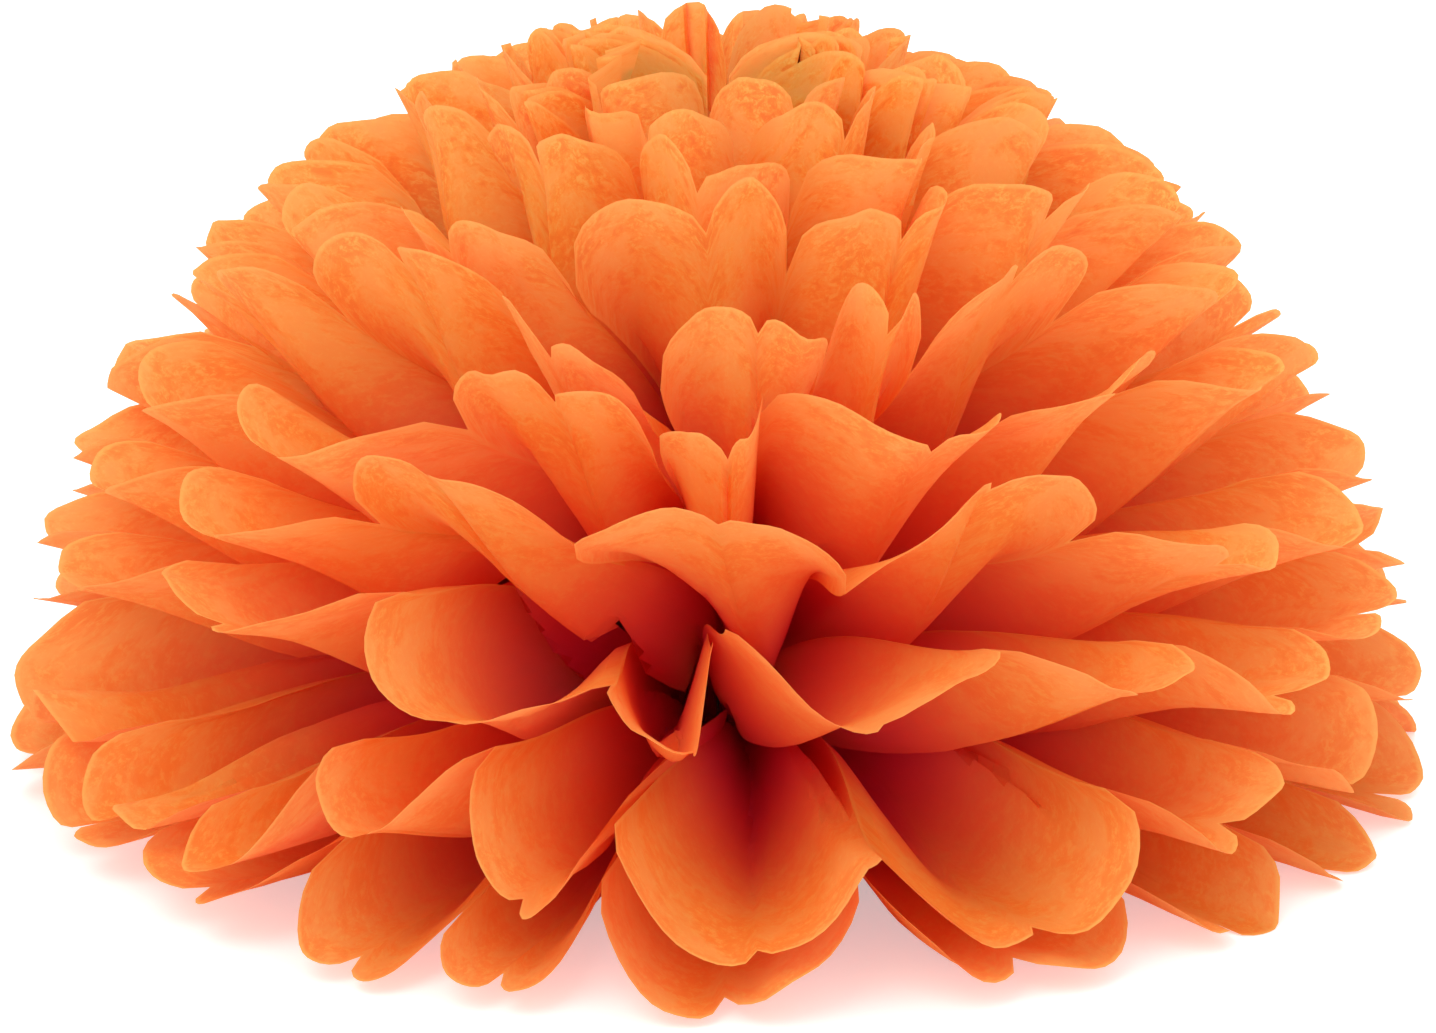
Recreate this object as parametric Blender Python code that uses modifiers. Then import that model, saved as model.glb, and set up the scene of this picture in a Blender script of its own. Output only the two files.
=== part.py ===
"""Tissue paper pom pom: pleated sheets tied at the waist with a wire and fanned into a half ball."""

import math

import bmesh
import bpy
import numpy as np

OBJECT = "tissue_paper_pom_pom"

# Each sheet as it is cut and folded, before it is tied
SHEETS = 10
SHEET_LENGTH = 0.374
TAKEN_UP = 0.005
PLEATS = 18
RIDGE_CUT = 0.030
VALLEY_CUT = 0.004
PAPER = 0.00025

# The waist, where the wire gathers the sheets
LAYER = 0.0012
FLARE = 0.0008
FLARED = 4
GATHER = 0.009
WAIST_HEIGHT = 0.0075
NECK = 0.006
SPREAD_BEND = 0.004

# The wire
WIRE = 0.0008
WIRE_GAP = 0.0003
WIRE_TAIL = 0.006

# How the sheets are fanned, in degrees: azimuth from the front, elevation from the table
CORE_SEAM = 3.0
SHEET_RISE = (2.0, 8.0, 18.0, 26.0, 34.5, 43.0, 52.5, 63.5, 72.0, 80.0)
RIM_SWING = (3.0, 3.5, 4.0, 4.5, 4.5, 4.8, 3.6, 2.6, 2.2, 1.6)
CORE_SWING = (3.0, 3.5, 4.0, 4.2, 4.2, 3.8, 2.8, 1.8, 1.0, 0.5)
FRONT_SEAM = (-10.0, -10.0, 0.0, -15.5, -7.5, -8.5, -27.0, 20.0, 8.0, -8.0)
BACK_SEAM = (4.0, -5.0, 5.0, -4.0, 6.0, -6.0, 5.0, -6.0, 8.0, -8.0)
SEAM_GAP = 0.8
CUP = 0.18
CLEAR_ANGLE = 2.4
STEEPEST = 89.0
SLUMP = 11.0
EVEN_STEP = 9.7
JITTER_AZIMUTH = 1.6
JITTER_ELEVATION = 1.2
SEED = 14

# Fold ends that show from the front, as (azimuth, elevation) from the seam outwards.
# Even places are ridges, odd places are valleys. The rest of each fan follows fan_folds.
LEFT_FOLDS = (
    (
        (-11, 4.5), (-16.5, -2), (-22.5, 1), (-28.5, -2), (-35, 6.5), (-44, -1),
        (-53, 4), (-61, 0), (-70, 6), (-80, -2), (-90, 3), (-100.5, -3), (-111, -3),
        (-121.5, -3),
    ),
    (
        (-10.5, 10), (-15, 7), (-20.5, 14.5), (-28, 8), (-34, 12.5), (-41, 3), (-47, 6),
        (-55, 1), (-62, 8.5), (-75, 3), (-88, 13), (-97, 7),
    ),
    (
        (-0.5, 25), (-2, 17.5), (-10, 21.5), (-22.5, 19), (-33, 29), (-47, 22.5),
        (-58, 26.5), (-68, 18), (-77, 22), (-87, 15), (-97, 20),
    ),
    (
        (-16, 33), (-29, 34.5), (-39, 33), (-50, 29), (-60, 32), (-70, 25), (-80, 29),
        (-90, 23), (-99, 28),
    ),
    (
        (-8, 42.5), (-18, 43), (-32, 43.5), (-47, 35), (-60, 38), (-72, 31), (-83, 37),
        (-94, 29), (-104, 35),
    ),
    (
        (-9, 47.5), (-20, 47), (-31, 53), (-48, 52), (-66, 48), (-78, 42), (-89, 47),
        (-99, 39), (-108, 45),
    ),
    (
        (-28, 60), (-43, 55), (-57, 60), (-72, 52), (-85, 57), (-97, 49), (-108, 55),
    ),
    (
        (19, 69), (-4, 66), (-22, 70), (-42, 65), (-62, 70), (-80, 62), (-97, 67),
        (-110, 61),
    ),
    (
        (7, 76), (-14, 71), (-34, 75), (-52, 70), (-69, 74), (-84, 69), (-98, 73),
    ),
    (
        (-9, 83), (-32, 79), (-56, 83), (-80, 79),
    ),
)
RIGHT_FOLDS = (
    (
        (-10, 4.5), (0.5, -2.5), (12, 5), (23, -3), (35.5, 4), (43, -2.5), (51, 2.5),
        (58, -3), (66, 3), (74, -3), (83, 4), (94, -3), (105, -3), (116, -3),
    ),
    (
        (-9, 10), (3, 2.7), (14, 8), (25, 1.5), (37, 8), (44, 5), (52, 11), (60, 6),
        (68, 11), (77, 6), (86, 12), (95, 7),
    ),
    (
        (0.7, 26.5), (13.5, 20), (26, 22.5), (36, 17), (44, 21), (53, 14), (62, 19),
        (72, 13), (82, 19), (92, 14), (101, 18),
    ),
    (
        (-15, 33), (0, 34), (13, 30), (27, 34), (40, 29), (50, 25), (60, 29), (69, 21),
        (78, 27), (88, 20), (97, 26),
    ),
    (
        (-7, 42.5), (1, 38), (5.5, 45), (22, 39.5), (33, 43), (45, 40.5), (57, 43),
        (68, 34), (78, 39), (89, 31), (99, 36),
    ),
    (
        (-8, 47.5), (5, 49), (15, 50), (21, 51), (27, 47.5), (43, 54), (59, 50), (73, 43),
        (84, 48), (94, 40), (103, 45),
    ),
    (
        (-26.5, 60), (-2, 62), (14, 61), (30, 56), (44, 62), (60, 55), (73, 59),
        (84, 50), (95, 57),
    ),
    (
        (21, 69), (42, 64), (60, 69), (78, 62), (94, 67),
    ),
    (
        (9, 76), (30, 71), (50, 75), (68, 70), (84, 74),
    ),
    (
        (-7, 83), (18, 79), (42, 83), (66, 79), (88, 82),
    ),
)

# Where the grid's rows lie along a petal: beside the waist, a third of the way and at the lip
ROWS = (0.0, 0.32, 1.0)
HALVES = (-1, 1)

# Colours
ORANGE_LOW = (0.72, 0.09, 0.02)
ORANGE_HIGH = (0.95, 0.25, 0.03)
STEEL = (0.60, 0.60, 0.62)


def clear_scene():
    for thing in list(bpy.data.objects):
        bpy.data.objects.remove(thing, do_unlink=True)


def paint(name, colour, roughness, metallic=0.0):
    material = bpy.data.materials.new(name)
    material.use_nodes = True
    shader = material.node_tree.nodes["Principled BSDF"]
    shader.inputs["Base Color"].default_value = (*colour, 1.0)
    shader.inputs["Roughness"].default_value = roughness
    shader.inputs["Metallic"].default_value = metallic
    return material


def fan_folds(sheet, side, chance):
    """Azimuth and elevation of every fold's end on one half of a sheet, from front to back."""
    table = LEFT_FOLDS if side < 0 else RIGHT_FOLDS
    first_fold = (FRONT_SEAM[sheet] + side * SEAM_GAP, SHEET_RISE[sheet])
    known = list(table[sheet]) if sheet < len(table) else [first_fold]
    known = known[: PLEATS + 1]
    start = len(known) - 1
    first = known[-1][0]
    last = BACK_SEAM[sheet] + side * (180 - SEAM_GAP)
    tight = min(1.0, abs(last - first) / (PLEATS - start) / EVEN_STEP)
    for place in range(start + 1, PLEATS + 1):
        share = (place - start) / (PLEATS - start)
        azimuth = first + (last - first) * share
        azimuth += tight * JITTER_AZIMUTH * chance.uniform(-1, 1) * (place < PLEATS)
        swing = tight * RIM_SWING[sheet] * (1 if place % 2 == 0 else -1)
        elevation = SHEET_RISE[sheet] + swing + tight * JITTER_ELEVATION * chance.uniform(-1, 1)
        known.append((azimuth, elevation))
    return np.array(known, dtype=float)


def across(values):
    """Values at the folds and half way between them."""
    columns = np.arange(2 * PLEATS + 1) / 2
    return np.interp(columns, np.arange(PLEATS + 1), values)


def petal_reach(sheet):
    """Length of the paper from the waist to the lip, at each column."""
    columns = np.arange(2 * PLEATS + 1) / 2
    from_valley = np.abs((columns % 2) - 1)
    round_cut = RIDGE_CUT * (1 - np.sqrt(1 - from_valley**2))
    notched = VALLEY_CUT * (from_valley < 0.25)
    return SHEET_LENGTH / 2 - TAKEN_UP - LAYER * sheet - round_cut - notched


def lift(azimuth, elevation, below, clear):
    """Elevations raised where the sheet would pass through the sheet below it."""
    floor = np.interp(azimuth, below[0], below[1], period=360)
    raised = np.maximum(elevation, floor + clear)
    path = np.argsort(azimuth)
    for where, height in zip(*below):
        where = where + 360 * round((np.mean(azimuth) - where) / 360)
        if not azimuth[path[0]] < where < azimuth[path[-1]]:
            continue
        right = int(np.searchsorted(azimuth[path], where))
        a = path[right - 1]
        b = path[right]
        share = (where - azimuth[a]) / max(azimuth[b] - azimuth[a], 1e-6)
        short = height + clear - (raised[a] * (1 - share) + raised[b] * share)
        if short > 0:
            raised[a] += short
            raised[b] += short
    return np.minimum(raised, STEEPEST)


def both_halves(fan, row):
    """A row's azimuths and elevations, with its left and right halves end to end."""
    return [np.concatenate([fan[side, row][part] for side in HALVES]) for part in (0, 1)]


def between_rows(fan):
    """A row half way along the straight petals, from the core row and the lip."""
    core = ROWS[1] / (ROWS[1] + ROWS[2])
    return {
        (side, 0): tuple(
            fan[side, 1][part] * core + fan[side, 2][part] * (1 - core) for part in (0, 1)
        )
        for side in HALVES
    }


def clear_below(fan, below):
    """Lifts a sheet off the one below it at the core, the lip and half way between."""
    for row in (1, 2):
        under = both_halves(below, row)
        for side in HALVES:
            azimuth, elevation = fan[side, row]
            fan[side, row] = (azimuth, lift(azimuth, elevation, under, CLEAR_ANGLE))
    under = both_halves(between_rows(below), 0)
    middle = between_rows(fan)
    for side in HALVES:
        azimuth, elevation = middle[side, 0]
        short = lift(azimuth, elevation, under, CLEAR_ANGLE) - elevation
        for row in (1, 2):
            fan[side, row] = (fan[side, row][0], fan[side, row][1] + short)


def fan_sheets():
    """For each sheet, half and row, the azimuth and elevation at each column."""
    chance = np.random.default_rng(SEED)
    base = across(np.linspace(CORE_SEAM, 180 - CORE_SEAM, PLEATS + 1))
    swing = across(np.where(np.arange(PLEATS + 1) % 2 == 0, 1.0, -1.0))
    between = (np.arange(2 * PLEATS + 1) % 2).astype(float)
    fans = []
    for sheet in range(SHEETS):
        fan = {}
        for side in HALVES:
            folds = fan_folds(sheet, side, chance)
            rim_azimuth = across(folds[:, 0])
            rim_elevation = across(folds[:, 1]) - between * CUP * 2 * RIM_SWING[sheet]
            core_azimuth = base * side
            level = np.interp(base, side * rim_azimuth, rim_elevation)
            smooth = np.convolve(np.pad(level, 4, mode="edge"), np.ones(9) / 9, "valid")
            core_elevation = smooth + CORE_SWING[sheet] * (swing - between * 2 * CUP)
            if sheet == 0:
                core_elevation = np.full(len(base), -SLUMP)
            for row, share in enumerate(ROWS):
                fan[side, row] = (
                    core_azimuth + (rim_azimuth - core_azimuth) * share,
                    core_elevation + (rim_elevation - core_elevation) * share,
                )
        if sheet:
            clear_below(fan, fans[-1])
        fans.append(fan)
    return fans


def waist_point(column):
    """Where a column passes through the wire, before its sheet's height is added."""
    share = column / (2 * PLEATS)
    return np.array([0.0, GATHER * (2 * share - 1), 0.0])


def spread_point(sheet, side, column, azimuth):
    """Where a column has turned from the waist to its own azimuth, further out on a lower sheet."""
    start = waist_point(column)
    turn = abs(azimuth) - math.pi / 2
    radius = SPREAD_BEND + GATHER - abs(start[1])
    flare = FLARE * min(SHEETS - 1 - sheet, FLARED)
    return start + np.array([
        side * (NECK + radius * math.sin(abs(turn))) + flare * math.sin(azimuth),
        math.copysign(radius * (1 - math.cos(turn)), turn) - flare * math.cos(azimuth),
        0.0,
    ])


def petal_point(sheet, side, row, column, fan, reach):
    """A grid point of one half of a sheet, from the middle of its waist."""
    azimuth = math.radians(fan[side, row][0][column])
    elevation = math.radians(fan[side, row][1][column])
    start = spread_point(sheet, side, column, math.radians(fan[side, 0][0][column]))
    return start * (1 - ROWS[row]) + ROWS[row] * reach * np.array([
        math.cos(elevation) * math.sin(azimuth),
        -math.cos(elevation) * math.cos(azimuth),
        math.sin(elevation),
    ])


def add_sheet(sheet, fan, material, collection):
    """One sheet: a grid laid along the folds, given the paper's thickness."""
    rows = 2 * len(ROWS) + 1
    columns = 2 * PLEATS + 1
    mesh = bpy.data.meshes.new(f"sheet_{sheet + 1:02d}")
    grid = bmesh.new()
    bmesh.ops.create_grid(grid, x_segments=columns - 1, y_segments=rows - 1, size=1.0)
    reach = petal_reach(sheet)
    for vertex in grid.verts:
        column = round((vertex.co.x + 1) / 2 * (columns - 1))
        line = round((vertex.co.y + 1) / 2 * (rows - 1)) - len(ROWS)
        if line == 0:
            point = waist_point(column)
        else:
            side = 1 if line > 0 else -1
            point = petal_point(sheet, side, abs(line) - 1, column, fan, reach[column])
        point[2] = max(point[2] + WAIST_HEIGHT + LAYER * sheet, 0.0)
        vertex.co = point
    grid.normal_update()
    if sum(face.normal.z for face in grid.faces) < 0:
        bmesh.ops.reverse_faces(grid, faces=grid.faces)
    bmesh.ops.triangulate(grid, faces=grid.faces)
    grid.to_mesh(mesh)
    grid.free()
    thing = bpy.data.objects.new(mesh.name, mesh)
    collection.objects.link(thing)
    mesh.materials.append(material)
    thickness = thing.modifiers.new("paper thickness", "SOLIDIFY")
    thickness.thickness = PAPER
    thickness.offset = 1.0
    thickness.use_even_offset = False
    thickness.use_quality_normals = True
    return thing


def add_wire(material, collection):
    """The tie: once round the waist, with its two ends side by side under the sheets."""
    clear = WIRE / 2 + WIRE_GAP
    front = -GATHER - clear
    back = GATHER + clear
    under = WAIST_HEIGHT - clear
    over = WAIST_HEIGHT + LAYER * (SHEETS - 1) + PAPER + clear
    apart = clear
    route = [
        (-apart, WIRE_TAIL / 2, under),
        (-apart, -WIRE_TAIL / 2, under),
        (0, front + clear, under),
        (0, front, under + clear),
        (0, front, over - clear),
        (0, front + clear, over),
        (0, back - clear, over),
        (0, back, over - clear),
        (0, back, under + clear),
        (0, back - clear, under),
        (apart, WIRE_TAIL / 2, under),
        (apart, -WIRE_TAIL / 2, under),
    ]
    curve = bpy.data.curves.new("wire_tie", "CURVE")
    curve.dimensions = "3D"
    curve.bevel_depth = WIRE / 2
    curve.bevel_resolution = 2
    curve.use_fill_caps = True
    spline = curve.splines.new("POLY")
    spline.points.add(len(route) - 1)
    for point, place in zip(spline.points, route):
        point.co = (*place, 1.0)
    curve.materials.append(material)
    thing = bpy.data.objects.new("wire_tie", curve)
    collection.objects.link(thing)


def main():
    clear_scene()
    collection = bpy.data.collections.new(OBJECT)
    bpy.context.scene.collection.children.link(collection)
    fans = fan_sheets()
    for sheet in range(SHEETS):
        share = sheet / (SHEETS - 1)
        colour = tuple(l + (h - l) * share for l, h in zip(ORANGE_LOW, ORANGE_HIGH))
        tissue = paint(f"tissue_{sheet + 1:02d}", colour, 0.85)
        add_sheet(sheet, fans[sheet], tissue, collection)
    add_wire(paint("wire", STEEL, 0.35, 1.0), collection)


main()
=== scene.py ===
"""Looks of a tissue paper pom pom: ten pleated sheets, tied at the waist and fluffed into a half ball."""

import math

import bpy
import numpy as np
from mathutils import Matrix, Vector


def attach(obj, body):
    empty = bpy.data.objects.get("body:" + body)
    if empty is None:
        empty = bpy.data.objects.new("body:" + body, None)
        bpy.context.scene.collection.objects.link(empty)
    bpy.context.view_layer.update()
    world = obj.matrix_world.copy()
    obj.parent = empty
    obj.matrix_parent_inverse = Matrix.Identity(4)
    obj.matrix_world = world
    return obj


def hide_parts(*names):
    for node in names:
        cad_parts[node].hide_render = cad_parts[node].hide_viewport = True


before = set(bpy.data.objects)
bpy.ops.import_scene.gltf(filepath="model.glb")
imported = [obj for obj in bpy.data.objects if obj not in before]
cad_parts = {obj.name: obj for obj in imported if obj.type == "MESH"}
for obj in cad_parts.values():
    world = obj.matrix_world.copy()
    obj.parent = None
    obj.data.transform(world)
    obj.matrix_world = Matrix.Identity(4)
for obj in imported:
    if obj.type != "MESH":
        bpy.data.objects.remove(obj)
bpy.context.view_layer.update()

# Sheets as cut and folded, in metres. LIP_TOP is the share of the way from valley to ridge where a lip
# reaches farthest. Each wave of the ragged lip has its random heights in a pleat and its share of RAGGED.
SHEETS = 10
PLEATS = 18
PLEAT_WIDTH = 0.033
SHEET_WIDTH = PLEAT_WIDTH * PLEATS
SHEET_LENGTH = 0.374
TAKEN_UP = 0.005
RIDGE_CUT = 0.028
VALLEY_NOTCH = 0.010
LIP_TOP = 0.36
RAGGED = 0.0006
RAGGED_WAVES = ((5.5, 1.0), (2.0, 1.5))

# The waist, in metres. Near the front and back seams the sheets start closer in, by the pinch.
# SEAM_CLOSING is the power by which the width of the waist fades towards the lips.
LAYER = 0.0012
FLARE = 0.0008
FLARED = 4
GATHER = 0.009
WAIST_HEIGHT = 0.0075
NECK = 0.006
SPREAD_BEND = 0.004
SEAM_PINCH = 0.7
PINCHED_PLEATS = 0.8
SEAM_CLOSING = 6.0
ON_TABLE = 0.0002

# How the sheets are fanned, in degrees: azimuth from the front, elevation from the table. Folds closer
# than EVEN_STEP are jittered less, and BACK_WIDER is how much pleats widen towards the back.
CORE_SEAM = -1.5
CORE_STAGGER = 6.0
BACK_SEAM = (4.0, -5.0, 5.0, -4.0, 6.0, -6.0, 5.0, -6.0, 8.0, -8.0)
SEAM_GAP = 0.8
SHEET_RISE = (2.0, 8.0, 18.0, 26.0, 34.5, 43.0, 52.5, 63.5, 72.0, 80.0)
EVEN_STEP = 9.7
BACK_WIDER = (0.0, 0.0, 0.0, 0.0, 0.0, 0.2, 0.4, 0.65, 0.0, 0.0)
JITTER_AZIMUTH = (1.6, 1.6, 1.6, 1.8, 2.0, 2.4, 3.0, 3.8, 4.2, 4.6)
JITTER_ELEVATION = 1.2
SEED = 14

# How far ridges rise and valleys drop, in degrees: at the waist, halfway and at the lip
CORE_SWING = (7.5, 8.5, 9.5, 9.5, 9.5, 9.5, 9.5, 9.5, 9.0, 8.0)
MID_SWING = (4.0, 4.0, 4.0, 4.0, 4.2, 4.6, 5.0, 6.0, 6.5, 7.5)
RIM_SWING = (3.0, 3.5, 4.0, 4.5, 4.5, 4.8, 5.2, 5.5, 5.5, 5.0)

# Small gathers near the waist: how many folds in a pleat, their swing in degrees, and where they fade out
GATHERS = 3
GATHER_SWING = (4.0, 1.4, 1.3, 1.3, 1.4, 1.7, 2.0, 2.0, 2.2, 5.6)
GATHERS_FADE = (0.22, 0.5)

# Roundness of the valleys, where 1 is a straight fold
LEVEL_ROUND = 1.6
CORE_ROUND = 1.2
MID_ROUND = 1.4
WAIST_ROUND = 1.25
LIP_ROUND = 2.0

# Waves in the paper: how many random heights in a pleat, and their size in degrees
FLUTTER = (1.3, 2.2)
FLUTTER_FROM = 0.70
FLUTTER_POWER = 1.5
RIPPLES = ((2.6, 0.55), (4.2, 0.30))
RIPPLE_START = 2.2
DRIFT = 0.6

# How the sheets lie on the table and over each other, in degrees. DIP_NEAREST is a share of the reach,
# DIP_SINE the sine of the steepest dip, and CLEAR_WIDTH a number of AROUND_STEPs.
LOWEST_RISE = 3.0
FLOOR_ANGLE = 2.0
DIP_NEAREST = 0.1
DIP_SINE = 0.3
CLEAR_ANGLE = 1.5
CLEAR_SOFT = 0.5
CLEAR_WIDTH = 4
AROUND_STEP = 0.25
STEEPEST = 89.0

# Fold ends that show from the front, as (azimuth, elevation) from the seam outwards.
# Even places are ridges, odd places are valleys. The rest of each fan follows fan_folds.
LEFT_FOLDS = (
    (
        (-11, 4.5), (-16.5, -2), (-22.5, 1), (-28.5, -2), (-35, 6.5), (-44, -1),
        (-53, 4), (-61, 0), (-70, 6), (-80, -2), (-90, 3), (-100.5, -3), (-111, -3),
        (-121.5, -3),
    ),
    (
        (-10.5, 10), (-15, 7), (-20.5, 14.5), (-28, 8), (-34, 12.5), (-41, 3), (-47, 6),
        (-55, 1), (-62, 8.5), (-75, 3), (-88, 13), (-97, 7),
    ),
    (
        (-0.5, 25), (-2, 17.5), (-10, 21.5), (-22.5, 19), (-33, 29), (-47, 22.5),
        (-58, 26.5), (-68, 18), (-77, 22), (-87, 15), (-97, 20),
    ),
    (
        (-16, 33), (-29, 34.5), (-39, 33), (-50, 29), (-60, 32), (-70, 25), (-80, 29),
        (-90, 23), (-99, 28),
    ),
    (
        (-8, 42.5), (-18, 43), (-32, 43.5), (-47, 35), (-60, 38), (-72, 31), (-83, 37),
        (-94, 29), (-104, 35),
    ),
    (
        (-9, 47.5), (-20, 47), (-31, 53), (-48, 52), (-66, 48), (-78, 42), (-89, 47),
        (-99, 39), (-108, 45),
    ),
    (
        (-28, 60), (-43, 55), (-57, 60), (-72, 52), (-85, 57), (-97, 49), (-108, 55),
    ),
    (
        (19, 69), (-4, 66), (-22, 70), (-42, 65), (-62, 70), (-80, 62), (-97, 67),
        (-110, 61),
    ),
    (
        (7, 76), (-20, 69), (-48, 75), (-51, 71), (-54, 80), (-57, 72), (-60, 80),
        (-64, 69), (-92, 75), (-120, 69), (-123, 78), (-126, 71), (-129, 80), (-132, 72),
        (-136, 77), (-152, 69), (-167, 76), (-169.5, 71),
    ),
    (
        (-9, 82), (-44, 76), (-80, 81), (-82, 77), (-84, 89), (-86, 78), (-88, 89),
        (-90, 78), (-92, 89), (-94, 78), (-96, 89), (-98, 78), (-100, 89), (-103, 78),
        (-106, 88), (-112, 77), (-132, 82), (-160, 76),
    ),
)
RIGHT_FOLDS = (
    (
        (-10, 4.5), (0.5, -2.5), (12, 5), (23, -3), (35.5, 4), (43, -2.5), (51, 2.5),
        (58, -3), (66, 3), (74, -3), (83, 4), (94, -3), (105, -3), (116, -3),
    ),
    (
        (-9, 10), (3, 2.7), (14, 8), (25, 1.5), (37, 8), (44, 5), (52, 11), (60, 6),
        (68, 11), (77, 6), (86, 12), (95, 7),
    ),
    (
        (0.7, 26.5), (13.5, 20), (26, 22.5), (36, 17), (44, 21), (53, 14), (62, 19),
        (72, 13), (82, 19), (92, 14), (101, 18),
    ),
    (
        (-15, 33), (0, 34), (13, 30), (27, 34), (40, 29), (50, 25), (60, 29), (69, 21),
        (78, 27), (88, 20), (97, 26),
    ),
    (
        (-7, 42.5), (1, 38), (5.5, 45), (22, 39.5), (33, 43), (45, 40.5), (57, 43),
        (68, 34), (78, 39), (89, 31), (99, 36),
    ),
    (
        (-8, 47.5), (5, 49), (15, 50), (21, 51), (27, 47.5), (43, 54), (59, 50), (73, 43),
        (84, 48), (94, 40), (103, 45),
    ),
    (
        (-26.5, 60), (-2, 62), (14, 61), (30, 56), (44, 62), (60, 55), (73, 59),
        (84, 50), (95, 57),
    ),
    (
        (21, 69), (42, 64), (60, 69), (78, 62), (94, 67),
    ),
    (
        (9, 76), (36, 69), (62, 75), (65, 71), (68, 80), (71, 72), (74, 80), (78, 69),
        (104, 75), (130, 69), (133, 78), (136, 71), (139, 80), (142, 72), (146, 77),
        (164, 69), (182, 76), (185, 71),
    ),
    (
        (-7, 82), (28, 76), (62, 81), (64, 77), (66, 89), (68, 78), (70, 89), (72, 78),
        (74, 89), (76, 78), (78, 89), (80, 78), (82, 89), (85, 78), (88, 88), (94, 77),
        (112, 82), (142, 76),
    ),
)
HALVES = (-1, 1)

# The grid of each sheet: steps across a pleat, and rows from the waist to the lip
STEPS = 12
ROWS = 26
COLUMNS = np.arange(PLEATS * STEPS + 1) / STEPS
SHARES = np.linspace(0.0, 1.0, ROWS + 1)
FROM_RIDGE = 1 - np.abs((COLUMNS % 2) - 1)
SMOOTH_BELOW = 38.0

# Colours, as linear values
TISSUE = (1.0, 0.385, 0.045)
# Painted light: the top sheet's colour, paler than the lowest sheet's, as though lit more from above
TISSUE_PAINTED_LIT_TOP = (1.0, 0.56, 0.060)
# Painted shade: the red halfway and the deep crimson at the waist stand in for shade and light bounced
# deep inside the ball
PAINTED_SHADE_MIDDLE = (1.0, 0.085, 0.13)
PAINTED_SHADE_DEEP = (1.0, 0.004, 0.30)
# Painted light: the pale yellow of light shining through the lips, also used for the painted highlights
# on edges and fold lines
PAINTED_LIGHT_PALE = (1.0, 0.90, 0.21)
TISSUE_RUST = (0.90, 0.24, 0.022)
GLOW = (1.0, 0.235, 0.10)
STEEL_DARK = (0.50, 0.50, 0.52)
STEEL_PALE = (0.70, 0.70, 0.72)
FLOOR_GREY = (0.86, 0.86, 0.86)
WHITE = (1.0, 1.0, 1.0)

# Noises of the paper and the wire: scale per metre, detail, roughness and distortion
CLOUD = (58.0, 7.0, 0.72, 0.4)
FIBRE = (900.0, 3.0, 0.7, 0.8)
GRAIN = (380.0, 5.0, 0.75, 0.5)
CREASE = (26.0, 4.0, 0.55, 0.5)
WIRE_MARKS = (1800.0, 3.0, 0.6, 0.0)
SHEET_SHIFT = 3.1
CREASE_SHIFT = 1.7
CREASE_STRETCH = 6.0

# Between which levels of its noise each mark of the paper grows from nothing to whole
# The pale clouds and grain follow the paper's fibres, paled as painted light shining through it
PAINTED_GLOW_CLOUDS = (0.44, 0.60)
RUSTY_CLOUDS = (0.38, 0.50)
PAINTED_GLOW_GRAIN = (0.49, 0.60)
THIN_CLOUDS = (0.35, 0.70)

# Between which shares of the way from waist to lip each colour or mark grows
# Painted shade: where the crimson at the waist turns red, and where the red turns into the sheet's own
# colour
PAINTED_SHADE_MIDDLE_FROM = (0.12, 0.68)
PAINTED_SHADE_FADES_FROM = (0.45, 0.90)
MARKS_FROM = (0.55, 1.0)
# FOLDS_FROM, EDGE_FROM and FOLD_LINE place the painted highlights on the ridge folds and the cut edge
FOLDS_FROM = (0.4, 0.8)
EDGE_FROM = (0.990, 0.997)
DEPTH_UNTIL = (0.25, 0.75)
FOLD_LINE = (0.008, 0.022)

# Strength of each mark: on the lowest sheet, and what is added up to the top one. The pale mottle and
# fleck are the fibre pattern paled by painted light shining through the lips, stronger on higher sheets.
# The painted highlights on edges and fold lines are as strong on every sheet.
PAINTED_GLOW_MOTTLE = (0.42, 0.45)
RUST = (0.26, 0.42)
PAINTED_GLOW_FLECK = (0.34, 0.44)
# Painted highlights on the cut edge and the ridge folds
EDGE_HIGHLIGHT = 0.55
FOLD_HIGHLIGHT = 0.35

# Gloss, light through the paper, and relief
TISSUE_ROUGHNESS = 0.62
FLOOR_ROUGHNESS = 0.8
WIRE_ROUGHNESS = 0.28
WIRE_ROUGHER = 0.2
THIN = 0.42
THIN_IN_CLOUDS = 0.20
THIN_IN_DEPTH = 0.16
RELIEF_STRENGTH = 0.35
RELIEF_DEPTH = 0.0012
CREASE_RELIEF = 0.7
FIBRE_RELIEF = 0.05
GRAIN_RELIEF = 0.07
CLOUD_RELIEF = 0.2
WIRE_RELIEF_STRENGTH = 0.2
WIRE_RELIEF_DEPTH = 0.0001

# Camera, floor and lights: each lamp has a name, a place, a size and a power in watts
MIDDLE = (0.0, 0.0, 0.060)
CAMERA_DISTANCE = 1.235
CAMERA_ELEVATION = 19.0
CAMERA_LENS = 120.7
CAMERA_SENSOR = 36.0
FLOOR_SIZE = 12.0
FLOOR_WHITENING = 0.42
SKY = 1.03
LAMPS = (
    ("key", (-0.7, -1.0, 1.9), 1.4, 12.5),
    ("back", (0.5, 1.3, 1.5), 1.2, 9.0),
)


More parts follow.
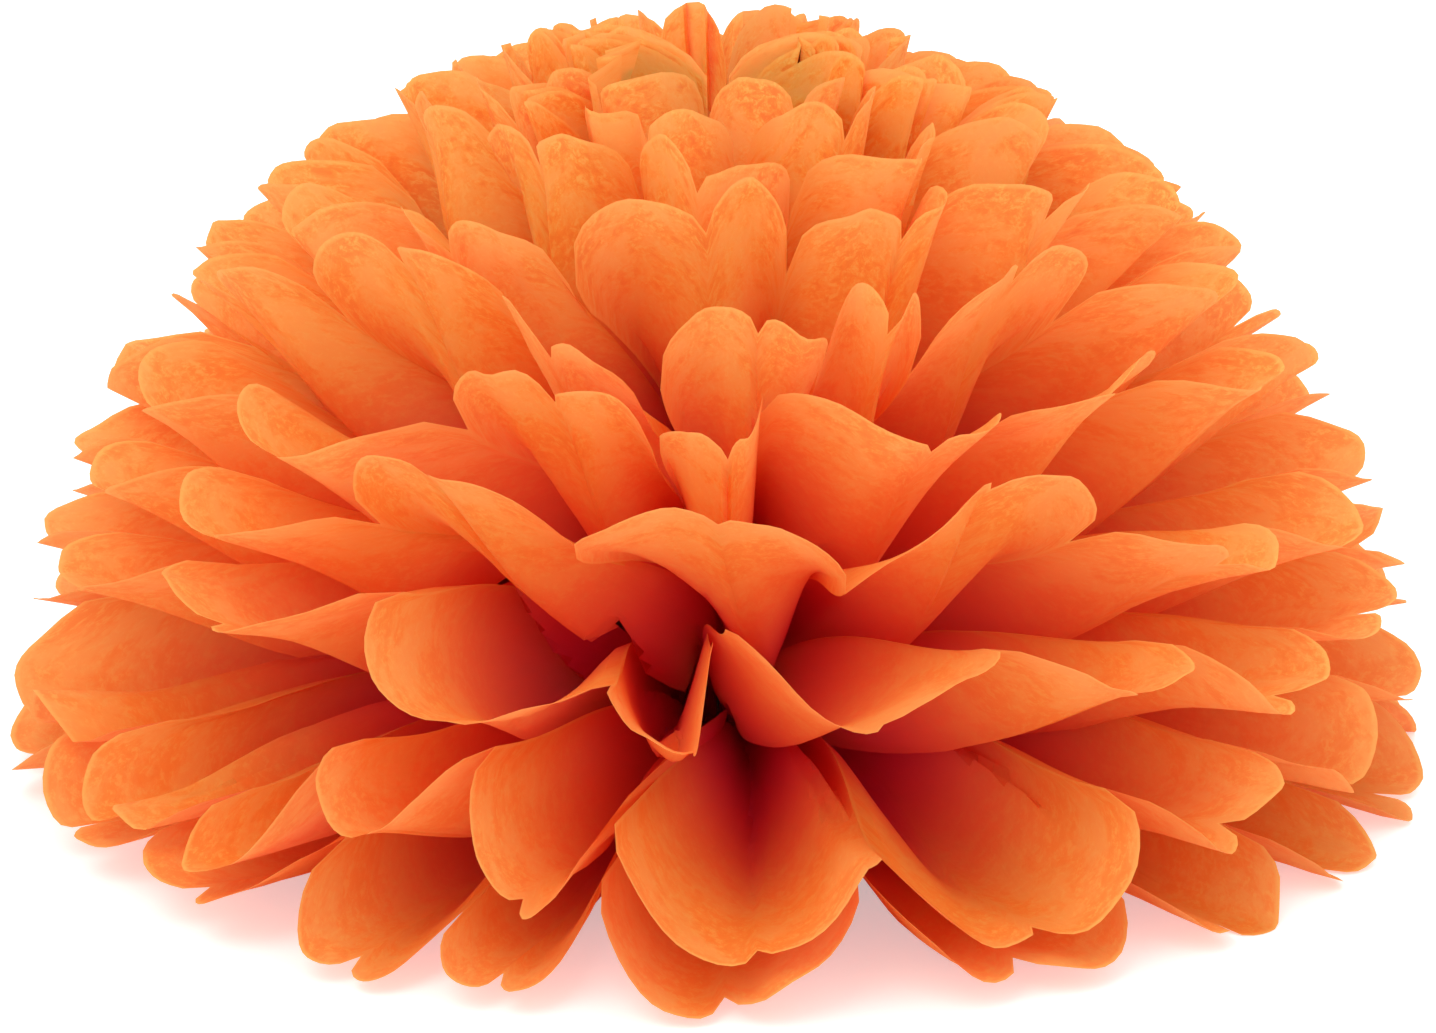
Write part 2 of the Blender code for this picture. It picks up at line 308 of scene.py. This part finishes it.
class Wires:
    """A node socket that takes part in Python expressions."""

    def __init__(self, shop, socket):
        self.shop = shop
        self.socket = socket

    def maths(self, operation, *values):
        return self.shop.node("ShaderNodeMath", {"operation": operation}, *values)

    def __add__(self, other):
        return self.maths("ADD", self, other)

    def __radd__(self, other):
        return self.maths("ADD", other, self)

    def __sub__(self, other):
        return self.maths("SUBTRACT", self, other)

    def __rsub__(self, other):
        return self.maths("SUBTRACT", other, self)

    def __mul__(self, other):
        return self.maths("MULTIPLY", self, other)

    def __rmul__(self, other):
        return self.maths("MULTIPLY", other, self)

    def __abs__(self):
        return self.maths("ABSOLUTE", self)

    def zigzag(self):
        """0 at even values, 1 at odd ones, and straight between them."""
        return self.maths("PINGPONG", self, 1.0)

    def within(self, low, high):
        """0 below the low value, 1 above the high one, and a smooth rise between them."""
        return self.shop.node(
            "ShaderNodeMapRange", {"interpolation_type": "SMOOTHSTEP"}, self, low, high, 0.0, 1.0
        )


class Shop:
    """Makes the nodes of one material or world."""

    def __init__(self, owner, end="ShaderNodeOutputMaterial"):
        owner.use_nodes = True
        self.owner = owner
        self.end = end
        self.tree = owner.node_tree
        self.tree.nodes.clear()

    def node(self, kind, settings, *values, output=0, **named):
        """One node: its settings first, then the values or links of its sockets, by place or name."""
        made = self.tree.nodes.new(kind)
        for setting, value in settings.items():
            setattr(made, setting, value)
        for place, value in enumerate(values):
            self.feed(made.inputs[place], value)
        for name, value in named.items():
            self.feed(made.inputs[name.replace("_", " ")], value)
        return Wires(self, made.outputs[output]) if made.outputs else None

    def feed(self, socket, value):
        if isinstance(value, Wires):
            self.tree.links.new(value.socket, socket)
        elif value is not None:
            socket.default_value = value

    def blend(self, share, first, second):
        """A colour between two colours. A Mix node has its colours behind five other sockets."""
        others = [None] * 5
        return self.node(
            "ShaderNodeMix", {"data_type": "RGBA"}, share, *others, first, second, output=2
        )

    def noise(self, place, scale, detail, roughness, distortion):
        return self.node(
            "ShaderNodeTexNoise", {"noise_dimensions": "3D"},
            Vector=place, Scale=scale, Detail=detail, Roughness=roughness, Distortion=distortion,
        )

    def finish(self, shader):
        self.node(self.end, {}, Surface=shader)
        return self.owner


def opaque(colour):
    return (*colour, 1.0)


def tissue_material(sheet):
    """Dyed tissue: cloudy fibres, fine creases along the folds, and light that glows through. Its colour
    also holds painted shade towards the waist, painted light on the higher sheets and in a pale mottle at
    the lips, and painted highlights on the edges and fold lines.
    """
    height = sheet / (SHEETS - 1)
    shop = Shop(bpy.data.materials.new(f"tissue_{sheet + 1:02d}"))
    paper = shop.node("ShaderNodeTexCoord", {}, output="UV")
    across = shop.node("ShaderNodeSeparateXYZ", {}, paper, output="X")
    along = shop.node("ShaderNodeSeparateXYZ", {}, paper, output="Y")
    from_waist = abs(along * 2.0 - 1.0)

    wide = across * SHEET_WIDTH
    long = along * SHEET_LENGTH
    flat = shop.node("ShaderNodeCombineXYZ", {}, wide + SHEET_SHIFT * sheet, long)
    pressed = shop.node("ShaderNodeCombineXYZ", {}, wide * CREASE_STRETCH + CREASE_SHIFT * sheet, long)
    cloud = shop.noise(flat, *CLOUD)
    fibre = shop.noise(flat, *FIBRE)
    grain = shop.noise(flat, *GRAIN)
    crease = shop.noise(pressed, *CREASE)

    marks = from_waist.within(*MARKS_FROM)
    glow_mottle, rust, glow_fleck = (base + rise * height for base, rise in (PAINTED_GLOW_MOTTLE, RUST, PAINTED_GLOW_FLECK))
    # Painted light: the fibre mottle and fleck are paled where light would shine through the lips, more
    # on higher sheets
    painted_glow_clouds = cloud.within(*PAINTED_GLOW_CLOUDS) * glow_mottle * marks
    rusty_clouds = (1.0 - (cloud * 0.5 + grain * 0.5).within(*RUSTY_CLOUDS)) * rust * marks
    painted_glow_grain = (grain * 0.7 + fibre * 0.3).within(*PAINTED_GLOW_GRAIN) * marks * glow_fleck
    # Painted highlights: a pale line along the cut edge of the lip and along each ridge fold
    edge = from_waist.within(*EDGE_FROM) * EDGE_HIGHLIGHT
    off_ridge = (across * PLEATS).zigzag()
    ridge = (1.0 - off_ridge.within(*FOLD_LINE)) * from_waist.within(*FOLDS_FROM) * FOLD_HIGHLIGHT

    # Painted light: the sheet's colour grows paler sheet by sheet towards the top one
    ends = tuple(low + (high - low) * height for low, high in zip(TISSUE, TISSUE_PAINTED_LIT_TOP))
    # Painted shade: crimson at the waist, red halfway, and the sheet's own colour towards the lip
    colour = shop.blend(from_waist.within(*PAINTED_SHADE_MIDDLE_FROM), opaque(PAINTED_SHADE_DEEP), opaque(PAINTED_SHADE_MIDDLE))
    colour = shop.blend(from_waist.within(*PAINTED_SHADE_FADES_FROM), colour, opaque(ends))
    colour = shop.blend(rusty_clouds, colour, opaque(TISSUE_RUST))
    # Painted light shining through, and painted highlights, all in the pale colour
    for pale in (painted_glow_clouds, painted_glow_grain, edge, ridge):
        colour = shop.blend(pale, colour, opaque(PAINTED_LIGHT_PALE))

    thin = THIN + cloud.within(*THIN_CLOUDS) * marks * THIN_IN_CLOUDS
    thin = thin + (1.0 - from_waist.within(*DEPTH_UNTIL)) * THIN_IN_DEPTH
    relief = crease * CREASE_RELIEF + fibre * FIBRE_RELIEF
    relief = relief + grain * GRAIN_RELIEF + cloud * CLOUD_RELIEF
    bump = shop.node(
        "ShaderNodeBump", {}, Strength=RELIEF_STRENGTH, Distance=RELIEF_DEPTH, Height=relief
    )
    face = shop.node(
        "ShaderNodeBsdfPrincipled", {}, Base_Color=colour, Roughness=TISSUE_ROUGHNESS, Normal=bump
    )
    glow = shop.node("ShaderNodeBsdfTranslucent", {}, Color=opaque(GLOW), Normal=bump)
    return shop.finish(shop.node("ShaderNodeMixShader", {}, thin, face, glow))


def wire_material():
    """Drawn steel wire with faint marks."""
    shop = Shop(bpy.data.materials.new("drawn_wire"))
    place = shop.node("ShaderNodeTexCoord", {}, output="Object")
    marks = shop.noise(place, *WIRE_MARKS)
    bump = shop.node(
        "ShaderNodeBump", {}, Strength=WIRE_RELIEF_STRENGTH, Distance=WIRE_RELIEF_DEPTH, Height=marks
    )
    return shop.finish(shop.node(
        "ShaderNodeBsdfPrincipled", {},
        Base_Color=shop.blend(marks, opaque(STEEL_DARK), opaque(STEEL_PALE)),
        Metallic=1.0,
        Roughness=WIRE_ROUGHNESS + marks * WIRE_ROUGHER,
        Normal=bump,
    ))


def ease(share):
    """From 0 to 1 with a soft start and end."""
    return share * share * (3 - 2 * share)


def step_up(share, low, high):
    """0 below the low value, 1 above the high one, and a soft rise between them."""
    return ease(np.clip((share - low) / (high - low), 0.0, 1.0))


def fan_folds(sheet, side, chance):
    """Azimuth and elevation of every fold's end on one half of a sheet, from front to back."""
    table = LEFT_FOLDS if side < 0 else RIGHT_FOLDS
    known = list(table[sheet])
    start = len(known) - 1
    first = known[-1][0]
    last = BACK_SEAM[sheet] + side * (180 - SEAM_GAP)
    tight = min(1.0, abs(last - first) / (PLEATS - start) / EVEN_STEP)
    steps = np.linspace(1 - BACK_WIDER[sheet], 1 + BACK_WIDER[sheet], PLEATS - start)
    shares = np.cumsum(steps) / np.sum(steps)
    for place, share in enumerate(shares, start + 1):
        azimuth = first + (last - first) * share
        azimuth += tight * JITTER_AZIMUTH[sheet] * chance.uniform(-1, 1) * (place < PLEATS)
        swing = RIM_SWING[sheet] * (1 if place % 2 == 0 else -1)
        elevation = SHEET_RISE[sheet] + swing + tight * JITTER_ELEVATION * chance.uniform(-1, 1)
        known.append((azimuth, elevation))
    return np.array(known, dtype=float)


def pleated(values, roundness):
    """Values across the sheet from those at its folds: sharp at the ridges, round in the valleys."""
    left = np.clip(np.floor(COLUMNS).astype(int), 0, PLEATS - 1)
    ridge = np.where(left % 2 == 0, values[left], values[left + 1])
    valley = np.where(left % 2 == 0, values[left + 1], values[left])
    hollow = 1 - (1 - FROM_RIDGE) ** roundness
    return ridge + (valley - ridge) * hollow


def waves(chance, per_pleat, size):
    """A smooth random line across the sheet."""
    heights = chance.uniform(-1, 1, int(PLEATS * per_pleat) + 4)
    places = COLUMNS * per_pleat + 1
    whole = np.floor(places).astype(int)
    turn = (1 - np.cos((places - whole) * math.pi)) / 2
    return size * (heights[whole] * (1 - turn) + heights[whole + 1] * turn)


def round_cut():
    """How far the lip is cut back: deep at the ridges, a small notch in the valleys."""
    from_valley = 1 - FROM_RIDGE
    ridge_side = np.clip((from_valley - LIP_TOP) / (1 - LIP_TOP), 0, 1)
    valley_side = np.clip(1 - from_valley / LIP_TOP, 0, 1)
    ridge_cut = RIDGE_CUT * (1 - np.sqrt(1 - ridge_side**2))
    return ridge_cut + VALLEY_NOTCH * (1 - np.sqrt(1 - valley_side**2))


def reach_of(sheet, chance):
    """Length of the paper from the waist to the lip, with a slightly ragged edge."""
    ragged = sum(waves(chance, per_pleat, RAGGED * size) for per_pleat, size in RAGGED_WAVES)
    return SHEET_LENGTH / 2 - TAKEN_UP - LAYER * sheet - round_cut() + ragged


def spread(sheet, side, azimuth):
    """Where each column has turned from the waist to its own azimuth."""
    y = GATHER * (2 * COLUMNS / PLEATS - 1)
    turn = np.abs(azimuth) - math.pi / 2
    radius = SPREAD_BEND + GATHER - np.abs(y)
    flare = FLARE * min(SHEETS - 1 - sheet, FLARED)
    from_seam = np.minimum(COLUMNS, PLEATS - COLUMNS)
    pinch = 1 - SEAM_PINCH * np.exp(-from_seam / PINCHED_PLEATS)
    return np.stack([
        side * pinch * (NECK + radius * np.sin(np.abs(turn))) + flare * np.sin(azimuth),
        y + np.copysign(radius * (1 - np.cos(turn)), turn) - flare * np.cos(azimuth),
        np.zeros_like(y),
    ], axis=-1)


def core_level(sheet, level):
    """How high a sheet leaves the waist: its height at the lips, evened out over four pleats."""
    if sheet == 0:
        return np.full_like(level, LOWEST_RISE)
    span = 2 * STEPS
    window = np.ones(2 * span + 1) / (2 * span + 1)
    return np.convolve(np.pad(level, span, mode="edge"), window, "valid")


def off_table(share, elevation):
    """Keeps the lowest sheet above the table, without a hard contact line."""
    dip = WAIST_HEIGHT / (max(share, DIP_NEAREST) * SHEET_LENGTH / 2)
    lowest = -math.degrees(math.asin(min(dip, DIP_SINE)))
    return lowest + FLOOR_ANGLE * np.logaddexp(0.0, (elevation - lowest) / FLOOR_ANGLE)


def fan_sheet(sheet, chance):
    """Azimuths and elevations of one sheet: a row by column array for each half."""
    places = np.arange(PLEATS + 1)
    base = np.interp(COLUMNS, places, np.linspace(CORE_SEAM, 180 - CORE_SEAM, PLEATS + 1))
    zigzag = np.where(places % 2 == 0, 1.0, -1.0)
    gathers = GATHER_SWING[sheet] * (2 * np.abs((COLUMNS * GATHERS) % 2 - 1) - 1)
    stagger = CORE_STAGGER * (1 if sheet % 2 else -1) * np.cos(np.radians(base))
    fan = {}
    for side in HALVES:
        folds = fan_folds(sheet, side, chance)
        rim_azimuth = np.interp(COLUMNS, places, folds[:, 0])
        level = np.interp(base, side * rim_azimuth, pleated(folds[:, 1], LEVEL_ROUND))
        core = core_level(sheet, level) + CORE_SWING[sheet] * pleated(zigzag, CORE_ROUND)
        flutter = waves(chance, *FLUTTER)
        coarse, fine = (waves(chance, *ripple) for ripple in RIPPLES)
        drift, _ = chance.uniform(-DRIFT, DRIFT, 2)
        azimuths = []
        elevations = []
        for share in SHARES:
            blend = ease(share)
            rim = pleated(folds[:, 1], WAIST_ROUND + (LIP_ROUND - WAIST_ROUND) * blend)
            elevation = core + (rim - core) * blend
            elevation += 4 * blend * (1 - blend) * MID_SWING[sheet] * pleated(zigzag, MID_ROUND)
            elevation += gathers * (1 - step_up(share, *GATHERS_FADE))
            if sheet == 0:
                elevation = off_table(share, elevation)
            shift = int(round(STEPS * drift * (1 - share)))
            elevation += (np.roll(coarse, shift) + fine) * min(1.0, RIPPLE_START * share)
            elevation += flutter * step_up(share, FLUTTER_FROM, 1.0) ** FLUTTER_POWER
            core_azimuth = side * base + stagger
            azimuths.append(core_azimuth + (rim_azimuth - core_azimuth) * blend)
            elevations.append(elevation)
        fan[side] = (np.array(azimuths), np.array(elevations))
    return fan


def heights_around(fan, reach):
    """A laid sheet's elevation for every row and azimuth, and its reach for every azimuth.

    Its ridges are taken a little wider than they are, so that the next sheet stays clear of them.
    """
    around = np.arange(0.0, 360.0, AROUND_STEP)
    turns = range(-CLEAR_WIDTH, CLEAR_WIDTH + 1)
    rows = []
    for row in range(ROWS + 1):
        places = np.concatenate([fan[side][0][row] for side in HALVES]) % 360
        values = np.concatenate([fan[side][1][row] for side in HALVES])
        heights = np.interp(around, places, values, period=360)
        rows.append(np.max([np.roll(heights, turn) for turn in turns], axis=0))
    lips = np.interp(around, places, np.concatenate([reach, reach]), period=360)
    return np.array(rows), lips


def lay_over(fan, reach, below):
    """Lifts a sheet off the one below it, without a hard contact line."""
    heights, lips = below
    for side in HALVES:
        azimuth, elevation = fan[side]
        where = azimuth % 360 / AROUND_STEP
        left = np.floor(where).astype(int) % heights.shape[1]
        right = (left + 1) % heights.shape[1]
        part = where - np.floor(where)
        lip = lips[left] * (1 - part) + lips[right] * part
        level = np.clip(SHARES[:, None] * reach / lip, 0.0, 1.0) * ROWS
        low = np.minimum(np.floor(level).astype(int), ROWS - 1)
        rise = level - low
        inner = heights[low, left] * (1 - part) + heights[low, right] * part
        outer = heights[low + 1, left] * (1 - part) + heights[low + 1, right] * part
        floor = (1 - rise) * inner + rise * outer
        over = (elevation - floor - CLEAR_ANGLE) / CLEAR_SOFT
        raised = floor + CLEAR_ANGLE + CLEAR_SOFT * np.logaddexp(0.0, over)
        elevation[1:] = np.minimum(raised, STEEPEST)[1:]


def sheet_points(sheet, fan, reach):
    """Places of all grid points of a sheet, from the lip of one half to the lip of the other."""
    halves = {}
    for side in HALVES:
        azimuth = np.radians(fan[side][0])
        elevation = np.radians(fan[side][1])
        start = spread(sheet, side, azimuth[0])
        share = SHARES[:, None, None]
        along = np.stack([
            np.cos(elevation) * np.sin(azimuth),
            -np.cos(elevation) * np.cos(azimuth),
            np.sin(elevation),
        ], axis=-1)
        held = (1 - share) ** SEAM_CLOSING
        halves[side] = start[None] * held + share * reach[None, :, None] * along
    waist = np.zeros((1, len(COLUMNS), 3))
    waist[0, :, 1] = GATHER * (2 * COLUMNS / PLEATS - 1)
    points = np.concatenate([halves[-1][::-1], waist, halves[1]])
    points[..., 2] = np.maximum(points[..., 2] + WAIST_HEIGHT + LAYER * sheet, ON_TABLE)
    return points


def make_sheet(sheet, points):
    """A flat grid of paper, moved to its folds."""
    rows, columns = points.shape[:2]
    bpy.ops.object.select_all(action="DESELECT")
    bpy.ops.mesh.primitive_grid_add(
        x_subdivisions=columns - 1, y_subdivisions=rows - 1, size=2.0, calc_uvs=True
    )
    piece = bpy.context.object
    piece.name = f"tissue_sheet_{sheet + 1:02d}"
    flat = np.zeros(len(piece.data.vertices) * 3)
    piece.data.vertices.foreach_get("co", flat)
    flat = flat.reshape(-1, 3)
    column = np.rint((flat[:, 0] + 1) / 2 * (columns - 1)).astype(int)
    row = np.rint((flat[:, 1] + 1) / 2 * (rows - 1)).astype(int)
    piece.data.vertices.foreach_set("co", points[row, column].ravel())
    bpy.ops.object.mode_set(mode="EDIT")
    bpy.ops.mesh.select_all(action="SELECT")
    bpy.ops.mesh.flip_normals()
    bpy.ops.object.mode_set(mode="OBJECT")
    bpy.ops.object.shade_smooth_by_angle(angle=math.radians(SMOOTH_BELOW))
    piece.data.update()
    piece.data.materials.append(tissue_material(sheet))
    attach(piece, "root")
    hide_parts(f"sheet_{sheet + 1:02d}")


def make_pom_pom():
    """The ten sheets, lowest first, each laid over the one before, and the finish of the wire."""
    chance = np.random.default_rng(SEED)
    below = None
    for sheet in range(SHEETS):
        fan = fan_sheet(sheet, chance)
        reach = reach_of(sheet, chance)
        if below is not None:
            lay_over(fan, reach, below)
        make_sheet(sheet, sheet_points(sheet, fan, reach))
        below = heights_around(fan, reach)
    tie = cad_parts["wire_tie"]
    tie.data.materials.clear()
    tie.data.materials.append(wire_material())


def make_floor():
    """A plain pale floor that keeps the shadow and runs into the white behind it."""
    bpy.ops.object.select_all(action="DESELECT")
    bpy.ops.mesh.primitive_plane_add(size=FLOOR_SIZE, location=(0, 0, 0))
    floor = bpy.context.object
    floor.name = "floor"
    shop = Shop(bpy.data.materials.new("white_floor"))
    matt = shop.node(
        "ShaderNodeBsdfPrincipled", {}, Base_Color=opaque(FLOOR_GREY), Roughness=FLOOR_ROUGHNESS
    )
    seen = shop.node("ShaderNodeLightPath", {}, output="Is Camera Ray")
    white = shop.node("ShaderNodeEmission", {}, Color=opaque(WHITE), Strength=seen * FLOOR_WHITENING)
    floor.data.materials.append(shop.finish(shop.node("ShaderNodeAddShader", {}, matt, white)))


def make_world():
    """Soft light from all round, and plain white where the camera or a gloss sees it."""
    world = bpy.data.worlds.new("studio")
    bpy.context.scene.world = world
    shop = Shop(world, "ShaderNodeOutputWorld")
    soft = shop.node("ShaderNodeBackground", {}, Color=opaque(WHITE), Strength=SKY)
    white = shop.node("ShaderNodeBackground", {}, Color=opaque(WHITE), Strength=1.0)
    camera = shop.node("ShaderNodeLightPath", {}, output="Is Camera Ray")
    gloss = shop.node("ShaderNodeLightPath", {}, output="Is Glossy Ray")
    seen = camera.maths("MAXIMUM", camera, gloss)
    shop.finish(shop.node("ShaderNodeMixShader", {}, seen, soft, white))


def point_at(thing, place, target):
    """Puts a lamp or camera at a place, and turns it to a target."""
    thing.location = place
    thing.rotation_euler = (Vector(target) - Vector(place)).to_track_quat("-Z", "Y").to_euler()


def make_lamp(name, place, size, power):
    """A round soft lamp that points at the pom pom."""
    data = bpy.data.lights.new(name, "AREA")
    data.shape = "DISK"
    data.size = size
    data.energy = power
    lamp = bpy.data.objects.new(name, data)
    bpy.context.scene.collection.objects.link(lamp)
    point_at(lamp, place, MIDDLE)


def make_camera():
    """The photograph's view: from the front, a little above the table."""
    data = bpy.data.cameras.new("camera")
    data.lens = CAMERA_LENS
    data.sensor_width = CAMERA_SENSOR
    camera = bpy.data.objects.new("camera", data)
    bpy.context.scene.collection.objects.link(camera)
    tilt = math.radians(CAMERA_ELEVATION)
    back = CAMERA_DISTANCE * Vector((0, -math.cos(tilt), math.sin(tilt)))
    point_at(camera, Vector(MIDDLE) + back, MIDDLE)
    bpy.context.scene.camera = camera


make_pom_pom()
make_floor()
make_world()
for lamp in LAMPS:
    make_lamp(*lamp)
make_camera()
bpy.context.scene.view_settings.view_transform = "Standard"
